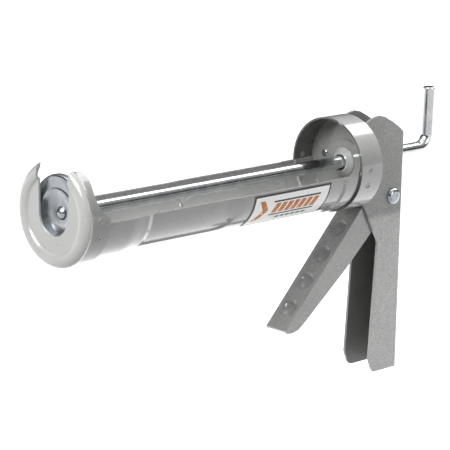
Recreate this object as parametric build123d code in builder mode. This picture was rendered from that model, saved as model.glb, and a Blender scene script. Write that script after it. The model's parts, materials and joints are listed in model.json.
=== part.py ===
"""Half-barrel caulking gun with a ratchet rod, for 50 mm cartridges.

Frame, in millimetres: the origin is on the rod's axis, at the face the
cartridge seats on. +X runs back along the rod to its hook, +Z is up,
and the nose plate is at -X.
"""
import os
from math import cos, radians, sin, sqrt

from build123d import *

os.makedirs("parts", exist_ok=True)

# ---- fits ------------------------------------------------------------
running_gap = 0.06  # radial, between a shaft and its bore
nest_gap = 0.02  # between fixed sheets that nest together
hole_gap = 0.03  # radial, between a fixed rivet and its hole

# ---- cradle: the half barrel -----------------------------------------
barrel_length = 229.5
cradle_sheet = 1.2
cradle_end_radius = 27.9
cradle_step = 1.0  # the middle is this much smaller in radius
cradle_edge_drop = 1.6  # long edges lie this far below the axis
front_section = 31.0
front_taper = 14.0
rear_section = 26.5
rear_taper = 3.5
panel_front = 46.5  # from the cradle's front end
panel_length = 66.0
panel_depth = 0.8
panel_low_angle = 51.0  # below the horizontal
panel_lip = 1.0

# ---- nose plate ------------------------------------------------------
nose_sheet = 1.2
nose_reach = 4.0  # nose crown ahead of the cradle's front end
nose_recess = 1.6
nose_floor_inset = 7.2  # inside the cradle's end radius
nose_crown_inset = 3.4
nose_rim_stand = 1.9  # outside the cradle's end radius
nose_flange_length = 17.5
nose_flange_step = 6.2
slot_bottom_radius = 12.0
slot_top_half_width = 13.8
flange_top = 2.0  # upper edge of the welded tab
flange_shoulder_height = 7.0
flange_shoulder_reach = 11.6  # back from the nose crown
flange_waist_height = 15.5
flange_waist_reach = 9.2
flange_horn_height = 23.4
flange_horn_reach = 9.9
flange_tip_height = 27.2
flange_tip_reach = 6.9
far_horn_height = 19.5  # the far horn is cut back more
far_horn_reach = 7.3
far_tip_height = 25.4
far_tip_reach = 3.4

# ---- rear collar, rear plate and bushing ------------------------------
collar_sheet = 1.2
collar_front = 15.5
collar_back = 2.5
plate_sheet = 1.5
plate_rim = 1.2
backing_radius = 14.0
backing_sheet = 1.0
bushing_wall = 1.97
bushing_flange = 2.8  # base flange beyond the neck
bushing_lip_wall = 0.9
bushing_mouth_flare = 0.97
bushing_mouth_depth = 2.6
bushing_reach = 4.5
bushing_tail = 1.1  # swaged over behind the rear plate
bushing_tail_flange = 1.6

# ---- spot welds ------------------------------------------------------
weld_radius = 1.9
weld_dish = 0.6
weld_stand = 0.3  # proud of the sheet
nose_weld_setback = 10.6  # from the nose crown
collar_weld_setback = 8.3  # ahead of the seat face
weld_heights = (0.6, -8.9)

# ---- handle ----------------------------------------------------------
handle_width = 22.0
handle_sheet = 1.6
handle_top = 28.2
handle_bottom = 137.6
handle_front_half = 20.0  # front edge, above and below the axis
handle_foot_depth = 21.8
handle_rear_top_x = 42.3
handle_rear_bottom_x = 46.2
handle_shoulder_z = 13.7
handle_bend_radius = 2.2
far_corner_radius = 8.0  # the +Y side's front lower corner is round
tab_margin = 3.6  # from a rivet's centre to the tab's outer edge
tab_top = 13.0
tab_bottom = -9.0
tab_rivet_gap = 0.3  # from a rivet's head to the backing plate
tab_rivet_z = 2.5
tab_rivet_radius = 1.6
tab_rivet_head_radius = 2.3
tab_rivet_head = 1.0

# ---- trigger and its pivot -------------------------------------------
pivot_x = 33.6
pivot_z = -24.4
pivot_radius = 3.0
pivot_head_radius = 5.2
pivot_head_height = 2.6
trigger_side_gap = 0.5
trigger_sheet = 1.5
trigger_ear_radius = 7.4
trigger_top_reach = 25.9  # pivot to the upper end of the front wall
trigger_top_drop = 5.2
trigger_tip_reach = 88.0  # pivot to the lower end of the front wall
trigger_tip_drop = 72.5
spacer_radius = 4.3
dimple_count = 4
dimple_first = 15.2  # from the lower end of the front wall
dimple_pitch = 20.0
dimple_radius = 6.2
dimple_depth = 2.5

# ---- pawl ------------------------------------------------------------
pawl_arm = 12.0  # pivot to pawl pin
trigger_stroke = 40.0
pawl_pin_radius = 1.5
pawl_ear_radius = 3.2
pawl_half_width = 3.0
pawl_tooth_gap = 0.08  # under the rod at mid-stroke

# ---- rod and plunger -------------------------------------------------
rod_radius = 3.97
hook_setback = 33.7  # behind the handle's rear edge
hook_top = 38.6
hook_bend_radius = 8.5
tooth_pitch = 4.0
tooth_depth = 1.15
tooth_lead = 19.1  # plain length behind the plunger
tooth_last = 44.0
stud_radius = 2.6
plunger_side_gap = 3.1  # to the pressed side panels
plunger_nose_gap = 2.3
plunger_sheet = 1.2
plunger_dish_radius = 14.6
plunger_dish_depth = 2.6
plunger_edge_roll = 2.2
button_radius = 3.9
button_height = 2.4
washer_radius = 9.0
washer_sheet = 1.5

# ---- springs, label --------------------------------------------------
pawl_spring_wire = 0.35
return_spring_wire = 0.6
return_coil_radius = 5.4
return_coil_pitch = 1.5
leaf_width = 6.0
leaf_sheet = 0.6
leaf_reach = 20.7
leaf_rivet_z = 9.2
leaf_rivet_radius = 1.4
label_setback = 13.4  # behind the side panels
label_rear = 40.0
label_top_angle = 6.0
label_low_angle = 58.0
label_sheet = 0.15

# ---- worked-out sizes ------------------------------------------------
cradle_front_x = -barrel_length
cradle_mid_radius = cradle_end_radius - cradle_step
nose_x = cradle_front_x - nose_reach
nose_floor_radius = cradle_end_radius - nose_floor_inset
nose_crown_radius = cradle_end_radius - nose_crown_inset
nose_rim_radius = cradle_end_radius + nose_rim_stand
collar_inner = cradle_end_radius + nest_gap
collar_outer = collar_inner + collar_sheet
bore_radius = rod_radius + running_gap
bushing_neck_radius = bore_radius + bushing_wall
bushing_base_radius = bushing_neck_radius + bushing_flange
bushing_mouth_radius = bore_radius + bushing_mouth_flare
bushing_lip_radius = bushing_mouth_radius + bushing_lip_wall
bushing_tail_radius = bushing_neck_radius + bushing_tail_flange
handle_half = handle_width / 2
channel_half = handle_half - handle_sheet
trigger_half = channel_half - trigger_side_gap
trigger_inner = trigger_half - trigger_sheet
tab_rivet_y = backing_radius + tab_rivet_gap + tab_rivet_head_radius
tab_width = tab_rivet_y + tab_margin - handle_half
hook_x = handle_rear_top_x + hook_setback
trigger_fold_top = (pivot_x - trigger_top_reach, pivot_z - trigger_top_drop)
trigger_fold_bottom = (pivot_x - trigger_tip_reach, pivot_z - trigger_tip_drop)
plunger_rim_x = nose_x + nose_recess + nose_sheet + plunger_nose_gap
plunger_radius = cradle_mid_radius - cradle_sheet - panel_depth - plunger_side_gap
half_stroke = radians(trigger_stroke / 2)
pin_x = pivot_x + pawl_arm * sin(half_stroke)
pin_z = pivot_z + pawl_arm * cos(half_stroke)
pawl_rise = -rod_radius - pawl_tooth_gap - (pivot_z + pawl_arm)


def rear_edge_x(z):
    """X of the handle's rear edge at height z."""
    run = (handle_shoulder_z - z) / (handle_shoulder_z + handle_bottom)
    return handle_rear_top_x + run * (handle_rear_bottom_x - handle_rear_top_x)


def tube(x0, x1, outer, inner):
    """Ring about the rod's axis from x0 to x1."""
    with BuildSketch(Plane.YZ.offset(x0)) as profile:
        Circle(outer)
        Circle(inner, mode=Mode.SUBTRACT)
    extrude(profile.sketch, amount=x1 - x0)


def disc(x0, x1, radius, mode=Mode.ADD):
    """Solid disc about the rod's axis from x0 to x1."""
    with BuildSketch(Plane.YZ.offset(x0)) as profile:
        Circle(radius)
    extrude(profile.sketch, amount=x1 - x0, mode=mode)


def side_pin(x, z, radius, y0, y1, mode=Mode.ADD):
    """Cylinder across the gun, from y0 to y1."""
    with BuildSketch(Plane.XZ.offset(-y1)) as profile:
        with Locations((x, z)):
            Circle(radius)
    extrude(profile.sketch, amount=y1 - y0, mode=mode)


def side_plate(points, y0, y1, mode=Mode.ADD):
    """Flat plate with its outline in X and Z, from y0 to y1."""
    with BuildSketch(Plane.XZ.offset(-y1)) as profile:
        with BuildLine():
            Polyline(*points, close=True)
        make_face()
    extrude(profile.sketch, amount=y1 - y0, mode=mode)


def side_direction(y_sign, z):
    """Unit vector out of the barrel's side at height z."""
    rise = z / cradle_end_radius
    return (0, y_sign * sqrt(1 - rise**2), rise)


def side_plane(x, y_sign, z, radius):
    """Plane square to the barrel's side, at a radius from the axis."""
    outward = side_direction(y_sign, z)
    return Plane(
        origin=(x, outward[1] * radius, outward[2] * radius),
        z_dir=outward,
    )


def weld_holes(x):
    """Four holes for spot welds, two on each side of the barrel."""
    for side in (-1, 1):
        for height in weld_heights:
            with BuildSketch(side_plane(x, side, height, cradle_end_radius - 1)) as profile:
                Circle(weld_radius)
            extrude(profile.sketch, amount=5, mode=Mode.SUBTRACT)


def arc_block(x0, x1, inner, outer, start, arc, mode):
    """Part of a ring about the rod's axis, from one angle through another."""
    radial = (0, cos(radians(start)), sin(radians(start)))
    plane = Plane(origin=(0, 0, 0), x_dir=(1, 0, 0), z_dir=(0, -radial[2], radial[1]))
    with BuildSketch(plane) as profile:
        with Locations(((x0 + x1) / 2, (inner + outer) / 2)):
            Rectangle(x1 - x0, outer - inner)
    revolve(profile.sketch, axis=Axis.X, revolution_arc=arc, mode=mode)


# ---- cradle ----------------------------------------------------------
front_step_x = cradle_front_x + front_section
mid_front_x = front_step_x + front_taper
mid_rear_x = -rear_section - rear_taper
inner_end = cradle_end_radius - cradle_sheet
inner_mid = cradle_mid_radius - cradle_sheet
panel_x0 = cradle_front_x + panel_front
panel_x1 = panel_x0 + panel_length
panel_lip_angle = 2.2

with BuildPart() as cradle:
    with BuildSketch(Plane.XY):
        with BuildLine():
            Polyline(
                (cradle_front_x, cradle_end_radius),
                (front_step_x, cradle_end_radius),
                (mid_front_x, cradle_mid_radius),
                (mid_rear_x, cradle_mid_radius),
                (-rear_section, cradle_end_radius),
                (0, cradle_end_radius),
                (0, inner_end),
                (-rear_section, inner_end),
                (mid_rear_x, inner_mid),
                (mid_front_x, inner_mid),
                (front_step_x, inner_end),
                (cradle_front_x, inner_end),
                close=True,
            )
        make_face()
    revolve(axis=Axis.X)
    # long side panels pressed inward
    for panel_start in (180, 360 - panel_low_angle):
        arc_block(
            panel_x0 - panel_lip,
            panel_x1 + panel_lip,
            inner_mid - panel_depth,
            inner_mid + 0.2,
            panel_start - panel_lip_angle,
            panel_low_angle + 2 * panel_lip_angle,
            Mode.ADD,
        )
        arc_block(
            panel_x0,
            panel_x1,
            cradle_mid_radius - panel_depth,
            cradle_mid_radius + 2,
            panel_start - panel_lip_angle * (panel_start == 180),
            panel_low_angle + panel_lip_angle,
            Mode.SUBTRACT,
        )
    # the upper half is open
    with Locations((cradle_front_x / 2, 0, 20 - cradle_edge_drop)):
        Box(barrel_length + 10, 80, 40, mode=Mode.SUBTRACT)
cradle.part.label = "cradle"

# ---- nose plate ------------------------------------------------------
floor_x = nose_x + nose_recess
flange_inner = cradle_end_radius + nest_gap
flange_outer = flange_inner + nose_sheet
flange_end_x = nose_x + nose_flange_length


def trim_flange(y, horn, tip):
    """Cuts one side's flange to its waist, horn and tip, from y to 40 mm nearer."""
    outline = [(flange_end_x, flange_top)] + [
        (nose_x + reach, height)
        for reach, height in (
            (flange_shoulder_reach, flange_shoulder_height),
            (flange_waist_reach, flange_waist_height),
            horn,
            tip,
        )
    ]
    with BuildSketch(Plane.XZ.offset(-y)) as waste:
        with BuildLine():
            Spline(*outline)
            Polyline(
                outline[-1],
                (outline[-1][0], 40),
                (flange_end_x + 1, 40),
                (flange_end_x + 1, flange_top),
                outline[0],
            )
        make_face()
    extrude(waste.sketch, amount=40, mode=Mode.SUBTRACT)


with BuildPart() as nose_plate:
    with BuildSketch(Plane.XY):
        with BuildLine():
            Line((floor_x, 0), (floor_x, nose_floor_radius))
            Spline(
                (floor_x, nose_floor_radius),
                (nose_x + 0.6, nose_floor_radius + 1.7),
                (nose_x, nose_crown_radius),
                (nose_x + 1.2, nose_rim_radius - 1.2),
                (nose_x + 3.2, nose_rim_radius),
                (nose_x + nose_flange_step, flange_outer),
                tangents=((0, 1), (1, 0)),
            )
            Polyline(
                (nose_x + nose_flange_step, flange_outer),
                (flange_end_x, flange_outer),
                (flange_end_x, flange_inner),
                (nose_x + nose_flange_step, flange_inner),
            )
            Spline(
                (nose_x + nose_flange_step, flange_inner),
                (nose_x + 3.4, nose_rim_radius - nose_sheet),
                (nose_x + 2.1, nose_rim_radius - nose_sheet - 0.9),
                (nose_x + nose_sheet, nose_crown_radius),
                (nose_x + 1.8, nose_floor_radius + 1.8),
                (floor_x + nose_sheet, nose_floor_radius - 0.6),
                tangents=((-1, 0), (0, -1)),
            )
            Polyline(
                (floor_x + nose_sheet, nose_floor_radius - 0.6),
                (floor_x + nose_sheet, 0),
                (floor_x, 0),
            )
        make_face()
    revolve(axis=Axis.X)
    # slot for the cartridge's nozzle, open at the top
    with BuildSketch(Plane.YZ.offset(nose_x - 5)):
        Circle(slot_bottom_radius)
        with BuildLine():
            Polyline(
                (-slot_bottom_radius, 0),
                (slot_bottom_radius, 0),
                (slot_top_half_width, nose_rim_radius + 5),
                (-slot_top_half_width, nose_rim_radius + 5),
                close=True,
            )
        make_face()
    extrude(amount=nose_flange_length + 10, mode=Mode.SUBTRACT)
    # the flange is waisted, and sweeps up to the two horns
    trim_flange(
        0,
        (flange_horn_reach, flange_horn_height),
        (flange_tip_reach, flange_tip_height),
    )
    trim_flange(
        40,
        (far_horn_reach, far_horn_height),
        (far_tip_reach, far_tip_height),
    )
    weld_holes(nose_x + nose_weld_setback)
nose_plate.part.label = "nose_plate"

# ---- rear collar -----------------------------------------------------
with BuildPart() as rear_collar:
    tube(-collar_front, collar_back, collar_outer, collar_inner)
    weld_holes(-collar_weld_setback)
rear_collar.part.label = "rear_collar"


# ---- spot welds ------------------------------------------------------
def weld_group(x):
    """Four dished weld nuggets, two on each side of the barrel."""
    for side in (-1, 1):
        for height in weld_heights:
            plane = side_plane(x, side, height, cradle_end_radius + nest_gap)
            with BuildSketch(plane) as nugget:
                Circle(weld_radius)
            extrude(nugget.sketch, amount=collar_sheet + weld_stand)
            with BuildSketch(plane.offset(collar_sheet + weld_stand - weld_dish)) as dish:
                Circle(weld_radius * 0.35)
            extrude(dish.sketch, amount=weld_dish + 0.3, taper=-40, mode=Mode.SUBTRACT)


with BuildPart() as nose_spot_welds:
    weld_group(nose_x + nose_weld_setback)
nose_spot_welds.part.label = "nose_spot_welds"

with BuildPart() as collar_spot_welds:
    weld_group(-collar_weld_setback)
collar_spot_welds.part.label = "collar_spot_welds"

# ---- rear plate ------------------------------------------------------
with BuildPart() as rear_plate:
    disc(0, collar_back, cradle_end_radius)
    disc(plate_sheet, collar_back, cradle_end_radius - plate_rim, Mode.SUBTRACT)
    disc(0, plate_sheet, bushing_neck_radius + hole_gap, Mode.SUBTRACT)
    with BuildSketch(Plane.YZ):
        with Locations((-tab_rivet_y, tab_rivet_z), (tab_rivet_y, tab_rivet_z)):
            Circle(tab_rivet_radius + hole_gap)
    extrude(amount=plate_sheet, mode=Mode.SUBTRACT)
rear_plate.part.label = "rear_plate"

with BuildPart() as backing_plate:
    tube(-backing_sheet, 0, backing_radius, bushing_neck_radius + hole_gap)
    fillet(
        backing_plate.edges().filter_by(GeomType.CIRCLE).group_by(Axis.X)[0][-1],
        0.5,
    )
backing_plate.part.label = "backing_plate"

with BuildPart() as rod_bushing:
    with BuildSketch(Plane.XY):
        with BuildLine():
            Polyline(
                (-bushing_reach, bushing_mouth_radius),
                (-bushing_reach, bushing_lip_radius),
                (-backing_sheet - 1.4, bushing_base_radius - 0.9),
                (-backing_sheet - 0.5, bushing_base_radius),
                (-backing_sheet, bushing_base_radius),
                (-backing_sheet, bushing_neck_radius),
                (plate_sheet, bushing_neck_radius),
                (plate_sheet, bushing_tail_radius),
                (plate_sheet + bushing_tail, bushing_tail_radius),
                (plate_sheet + bushing_tail, bore_radius),
                (-bushing_reach + bushing_mouth_depth, bore_radius),
                close=True,
            )
        make_face()
    revolve(axis=Axis.X)
rod_bushing.part.label = "rod_bushing"

# ---- handle ----------------------------------------------------------
foot_x = handle_rear_bottom_x - handle_foot_depth
handle_outline = (
    (plate_sheet, -handle_front_half),
    (plate_sheet, handle_front_half),
    (collar_back + 0.4, handle_front_half + 3.4),
    (8.2, handle_top - 2.3),
    (13.0, handle_top - 0.6),
    (18.0, handle_top),
    (23.0, handle_top - 1.2),
    (30.1, handle_top - 4.9),
    (handle_rear_top_x - 5.7, handle_shoulder_z + 5.6),
    (handle_rear_top_x - 1.7, handle_shoulder_z + 2.3),
    (rear_edge_x(handle_shoulder_z), handle_shoulder_z),
    (rear_edge_x(-handle_bottom), -handle_bottom),
    (foot_x, -handle_bottom),
    (foot_x - 2.4, -handle_bottom + 3.0),
    (foot_x - 5.1, -handle_bottom + 9.8),
    (foot_x - 2.4, pivot_z - 27.6),
    (plate_sheet + 5.5, -handle_front_half - 6.6),
)
inner_rear_top_x = handle_rear_top_x - handle_sheet
inner_rear_bottom_x = handle_rear_bottom_x - handle_sheet

with BuildPart() as handle:
    side_plate(handle_outline, -handle_half, handle_half)
    fillet(handle.edges().sort_by(SortBy.LENGTH)[-2:], handle_bend_radius)
    side_plate(
        (
            (-5, handle_bottom),
            (inner_rear_top_x, handle_bottom),
            (inner_rear_top_x, handle_shoulder_z),
            (inner_rear_bottom_x, -handle_bottom),
            (inner_rear_bottom_x, -handle_bottom - 5),
            (-5, -handle_bottom - 5),
        ),
        -channel_half,
        channel_half,
        Mode.SUBTRACT,
    )
    # the +Y side's front lower corner is rounded off
    corner_x = foot_x - 5.1 + far_corner_radius
    corner_z = -handle_bottom + far_corner_radius
    with BuildSketch(Plane.XZ.offset(-handle_half)) as corner_waste:
        with Locations((corner_x - far_corner_radius, corner_z - far_corner_radius)):
            Rectangle(2 * far_corner_radius, 2 * far_corner_radius)
        with Locations((corner_x, corner_z)):
            Circle(far_corner_radius, mode=Mode.SUBTRACT)
    extrude(corner_waste.sketch, amount=handle_sheet, mode=Mode.SUBTRACT)
    # front tabs, folded outward against the rear plate
    for side in (-1, 1):
        with Locations((
            plate_sheet + handle_sheet / 2,
            side * (handle_half + tab_width / 2 - 0.5),
            (tab_top + tab_bottom) / 2,
        )):
            Box(handle_sheet, tab_width + 1, tab_top - tab_bottom)
        with BuildSketch(Plane.YZ.offset(plate_sheet)):
            with Locations((side * tab_rivet_y, tab_rivet_z)):
                Circle(tab_rivet_radius + hole_gap)
        extrude(amount=handle_sheet, mode=Mode.SUBTRACT)
    # bore for the rod, through the rear wall
    disc(inner_rear_top_x - 1, handle_rear_bottom_x + 1, bore_radius, Mode.SUBTRACT)
    with BuildSketch(Plane.YZ.offset(inner_rear_top_x - 1)):
        with Locations((0, leaf_rivet_z)):
            Circle(leaf_rivet_radius + hole_gap)
    extrude(amount=6, mode=Mode.SUBTRACT)
    side_pin(
        pivot_x, pivot_z, pivot_radius + hole_gap, -handle_half, handle_half,
        Mode.SUBTRACT,
    )
handle.part.label = "handle"

with BuildPart() as handle_rivets:
    for side in (-1, 1):
        with BuildSketch(Plane.YZ.offset(-tab_rivet_head)):
            with Locations((side * tab_rivet_y, tab_rivet_z)):
                Circle(tab_rivet_head_radius)
        extrude(amount=tab_rivet_head)
        with BuildSketch(Plane.YZ):
            with Locations((side * tab_rivet_y, tab_rivet_z)):
                Circle(tab_rivet_radius)
        extrude(amount=plate_sheet + handle_sheet)
        with BuildSketch(Plane.YZ.offset(plate_sheet + handle_sheet)):
            with Locations((side * tab_rivet_y, tab_rivet_z)):
                Circle(tab_rivet_head_radius)
        extrude(amount=tab_rivet_head)
    ends = handle_rivets.edges().filter_by(GeomType.CIRCLE).group_by(Axis.X)
    fillet(ends[0] + ends[-1], tab_rivet_head * 0.7)
handle_rivets.part.label = "handle_rivets"

# ---- trigger pivot ---------------------------------------------------
with BuildPart() as pivot_rivet:
    side_pin(pivot_x, pivot_z, pivot_radius, -handle_half, handle_half)
    head_tip = handle_half + pivot_head_height
    side_pin(pivot_x, pivot_z, pivot_head_radius, -head_tip, -handle_half)
    side_pin(pivot_x, pivot_z, pivot_head_radius, handle_half, head_tip)
    rivet_rims = pivot_rivet.edges().filter_by(GeomType.CIRCLE).group_by(Axis.Y)
    fillet(rivet_rims[0] + rivet_rims[-1], pivot_head_height - 0.3)
pivot_rivet.part.label = "pivot_rivet"

with BuildPart() as pivot_spacer:
    side_pin(pivot_x, pivot_z, spacer_radius, -trigger_inner + 0.15, trigger_inner - 0.15)
    side_pin(
        pivot_x, pivot_z, pivot_radius + hole_gap, -trigger_inner, trigger_inner,
        Mode.SUBTRACT,
    )
pivot_spacer.part.label = "pivot_spacer"

# ---- trigger ---------------------------------------------------------
fold_run = trigger_fold_top[0] - trigger_fold_bottom[0]
fold_rise = trigger_fold_top[1] - trigger_fold_bottom[1]
fold_length = sqrt(fold_run**2 + fold_rise**2)
along = (fold_run / fold_length, fold_rise / fold_length)
inward = (along[1], -along[0])
dimple_ball = (dimple_radius**2 + dimple_depth**2) / (2 * dimple_depth)


def trigger_point(distance, depth):
    """Point a distance up the fold line and a depth behind it."""
    return (
        trigger_fold_bottom[0] + along[0] * distance + inward[0] * depth,
        trigger_fold_bottom[1] + along[1] * distance + inward[1] * depth,
    )


trigger_outline = (
    trigger_point(0, 0),
    trigger_point(fold_length, 0),
    trigger_point(fold_length + 6, 1.5),
    (pivot_x - 13.5, pivot_z + 4.0),
    (pivot_x - 2.0, pivot_z + 8.0),
    (pin_x - pawl_ear_radius, pin_z + 1.2),
    (pin_x - 1.6, pin_z + pawl_ear_radius - 0.4),
    (pin_x + 1.6, pin_z + pawl_ear_radius - 0.4),
    (pin_x + pawl_ear_radius, pin_z + 1.2),
    (pin_x + pawl_ear_radius, pin_z - 1.6),
    (pivot_x + trigger_ear_radius, pivot_z + 2.2),
    (pivot_x + trigger_ear_radius, pivot_z - 2.2),
    (pivot_x + 4.4, pivot_z - 6.0),
    trigger_point(fold_length - 3.5, 18.6),
    trigger_point(58.0, 16.2),
    trigger_point(13.5, 9.8),
    trigger_point(6.5, 8.4),
    trigger_point(2.0, 5.4),
    trigger_point(-0.6, 2.0),
)



def dimple_face(distance, radius, depth, mode):
    """Ball's slice for one finger dimple, from a depth behind the front wall on."""
    foot = trigger_point(distance, 0)
    centre = dimple_depth - dimple_ball
    plane = Plane(
        origin=(foot[0], 0, foot[1]),
        x_dir=(0, 1, 0),
        z_dir=(inward[1], 0, -inward[0]),
    )
    with BuildSketch(plane) as profile:
        with Locations((0, centre)):
            Circle(radius)
        with Locations((radius, depth + radius)):
            Rectangle(2 * radius, 2 * radius, mode=Mode.INTERSECT)
    centre_line = Axis((foot[0], 0, foot[1]), (inward[0], 0, inward[1]))
    revolve(profile.sketch, axis=centre_line, mode=mode)


with BuildPart() as trigger:
    side_plate(trigger_outline, -trigger_half, trigger_half)
    # hollow: leaves two side plates and the front wall
    side_plate(
        (
            trigger_point(-8, trigger_sheet),
            trigger_point(fold_length, trigger_sheet),
            trigger_point(fold_length + 3, -6),
            (pivot_x - 34, pivot_z + 24),
            (pivot_x + 26, pivot_z + 24),
            (pivot_x + 26, pivot_z - 36),
            trigger_point(-8, 40),
        ),
        -trigger_inner,
        trigger_inner,
        Mode.SUBTRACT,
    )
    fillet(
        trigger.edges()
        .filter_by(lambda e: abs(e.length - fold_length) < 0.5)
        .filter_by(lambda e: abs(abs(e.center().Y) - trigger_half) < 0.01),
        1.2,
    )
    # finger dimples, pressed in along the front wall
    for index in range(dimple_count):
        distance = dimple_first + index * dimple_pitch
        dimple_face(
            distance, dimple_ball + trigger_sheet, trigger_sheet / 2, Mode.ADD
        )
        dimple_face(distance, dimple_ball, -3, Mode.SUBTRACT)
    side_pin(
        pivot_x, pivot_z, pivot_radius + running_gap, -trigger_half, trigger_half,
        Mode.SUBTRACT,
    )
    side_pin(
        pin_x, pin_z, pawl_pin_radius + hole_gap, -trigger_half, trigger_half,
        Mode.SUBTRACT,
    )
trigger.part.label = "trigger"

# ---- pawl ------------------------------------------------------------
pawl_tip_z = pin_z + pawl_rise

with BuildPart() as pawl:
    side_pin(pin_x, pin_z, pawl_ear_radius, -pawl_half_width, pawl_half_width)
    side_plate(
        (
            (pin_x - 3.1, pin_z + 0.5),
            (pin_x - 2.6, pawl_tip_z),
            (pin_x - 1.4, pawl_tip_z),
            (pin_x + 2.4, pawl_tip_z - 2.4),
            (pin_x + 3.1, pin_z + 0.5),
        ),
        -pawl_half_width,
        pawl_half_width,
    )
    side_pin(
        pin_x, pin_z, pawl_pin_radius + running_gap, -pawl_half_width, pawl_half_width,
        Mode.SUBTRACT,
    )
pawl.part.label = "pawl"

with BuildPart() as pawl_pin:
    side_pin(pin_x, pin_z, pawl_pin_radius, -trigger_half, trigger_half)
pawl_pin.part.label = "pawl_pin"

# ---- springs ---------------------------------------------------------
coil_span = trigger_inner - pawl_half_width - 1.6
coil_turns = max(1, int(coil_span / (2.6 * pawl_spring_wire)))
with BuildPart() as pawl_spring:
    with BuildLine() as pawl_coil:
        Helix(
            pitch=coil_span / coil_turns,
            height=coil_span,
            radius=pawl_pin_radius + pawl_spring_wire + 0.4,
            center=(pin_x, pawl_half_width + 0.8, pin_z),
            direction=(0, 1, 0),
        )
    with BuildSketch(Plane(pawl_coil.line @ 0, z_dir=pawl_coil.line % 0)):
        Circle(pawl_spring_wire)
    sweep(path=pawl_coil.line)
pawl_spring.part.label = "pawl_spring"

return_turns = 3
with BuildPart() as trigger_spring:
    with BuildLine() as return_coil:
        Helix(
            pitch=return_coil_pitch,
            height=return_coil_pitch * return_turns,
            radius=return_coil_radius,
            center=(pivot_x, -return_coil_pitch * return_turns / 2, pivot_z),
            direction=(0, 1, 0),
        )
    with BuildSketch(Plane(return_coil.line @ 0, z_dir=return_coil.line % 0)):
        Circle(return_spring_wire)
    sweep(path=return_coil.line)
trigger_spring.part.label = "trigger_spring"

leaf_anchor_x = rear_edge_x(leaf_rivet_z + 3) - handle_sheet - nest_gap
leaf_rest_z = rod_radius + 0.12
leaf_foot_x = leaf_anchor_x - leaf_reach
with BuildPart() as rod_brake_leaf:
    with BuildSketch(Plane.XZ.offset(-leaf_width / 2)):
        with BuildLine():
            Polyline(
                (leaf_anchor_x, leaf_rivet_z + 3.0),
                (leaf_anchor_x, leaf_rivet_z - 3.2),
                (leaf_anchor_x - 3.0, leaf_rivet_z - 4.2),
                (leaf_foot_x, leaf_rest_z),
                (leaf_foot_x - 4.0, leaf_rest_z),
                (leaf_foot_x - 7.0, leaf_rest_z + 1.6),
                (leaf_foot_x - 7.2, leaf_rest_z + 1.6 + leaf_sheet),
                (leaf_foot_x - 4.0, leaf_rest_z + leaf_sheet),
                (leaf_foot_x, leaf_rest_z + leaf_sheet),
                (leaf_anchor_x - 3.2, leaf_rivet_z - 4.2 + leaf_sheet),
                (leaf_anchor_x - leaf_sheet, leaf_rivet_z - 2.9),
                (leaf_anchor_x - leaf_sheet, leaf_rivet_z + 3.0),
                close=True,
            )
        make_face()
    extrude(amount=leaf_width)
    with BuildSketch(Plane.YZ.offset(leaf_anchor_x - 2)):
        with Locations((0, leaf_rivet_z)):
            Circle(leaf_rivet_radius + hole_gap)
    extrude(amount=4, mode=Mode.SUBTRACT)
rod_brake_leaf.part.label = "rod_brake_leaf"

leaf_rivet_rear = rear_edge_x(leaf_rivet_z - 4) + 0.05
with BuildPart() as leaf_rivet:
    with BuildSketch(Plane.YZ.offset(leaf_anchor_x - leaf_sheet - 0.05)):
        with Locations((0, leaf_rivet_z)):
            Circle(leaf_rivet_radius)
    extrude(amount=leaf_rivet_rear - leaf_anchor_x + leaf_sheet + 0.05)
    with BuildSketch(Plane.YZ.offset(leaf_anchor_x - leaf_sheet - 1.05)):
        with Locations((0, leaf_rivet_z)):
            Circle(leaf_rivet_radius * 1.7)
    extrude(amount=1.0)
    with BuildSketch(Plane.YZ.offset(leaf_rivet_rear)):
        with Locations((0, leaf_rivet_z)):
            Circle(leaf_rivet_radius * 1.8)
    extrude(amount=1.1)
    fillet(leaf_rivet.edges().filter_by(GeomType.CIRCLE).group_by(Axis.X)[-1], 0.8)
leaf_rivet.part.label = "leaf_rivet"

# ---- ratchet rod with its hook ---------------------------------------
bend_start = hook_x - hook_bend_radius
dish_floor_x = plunger_rim_x + plunger_dish_depth
washer_x = dish_floor_x + plunger_sheet
rod_shoulder_x = washer_x + washer_sheet
stud_end = dish_floor_x - 0.6
tooth_first = rod_shoulder_x + tooth_lead
tooth_count = round((tooth_last - tooth_first) / tooth_pitch)

with BuildPart() as ratchet_rod:
    disc(rod_shoulder_x, bend_start, rod_radius)
    with BuildLine(Plane.XZ) as hook_path:
        corner = JernArc(
            start=(bend_start, 0),
            tangent=(1, 0),
            radius=hook_bend_radius,
            arc_size=90,
        )
        Line(corner @ 1, (hook_x, hook_top))
    with BuildSketch(Plane.YZ.offset(bend_start)):
        Circle(rod_radius)
    sweep(path=hook_path.line)
    fillet(ratchet_rod.edges().filter_by(GeomType.CIRCLE).sort_by(Axis.Z)[-1], 0.8)
    disc(stud_end, rod_shoulder_x, stud_radius)
    # ratchet teeth along the underside, steep faces to the rear
    with BuildSketch(Plane.XZ.offset(-rod_radius)):
        for index in range(tooth_count):
            x = tooth_first + index * tooth_pitch
            with BuildLine():
                Polyline(
                    (x, -rod_radius - 1),
                    (x, -rod_radius + tooth_depth),
                    (x + tooth_pitch * 0.15, -rod_radius + tooth_depth),
                    (x + tooth_pitch * 0.8, -rod_radius),
                    (x + tooth_pitch * 0.8, -rod_radius - 1),
                    close=True,
                )
            make_face()
    extrude(amount=2 * rod_radius, mode=Mode.SUBTRACT)
ratchet_rod.part.label = "ratchet_rod"

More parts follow.
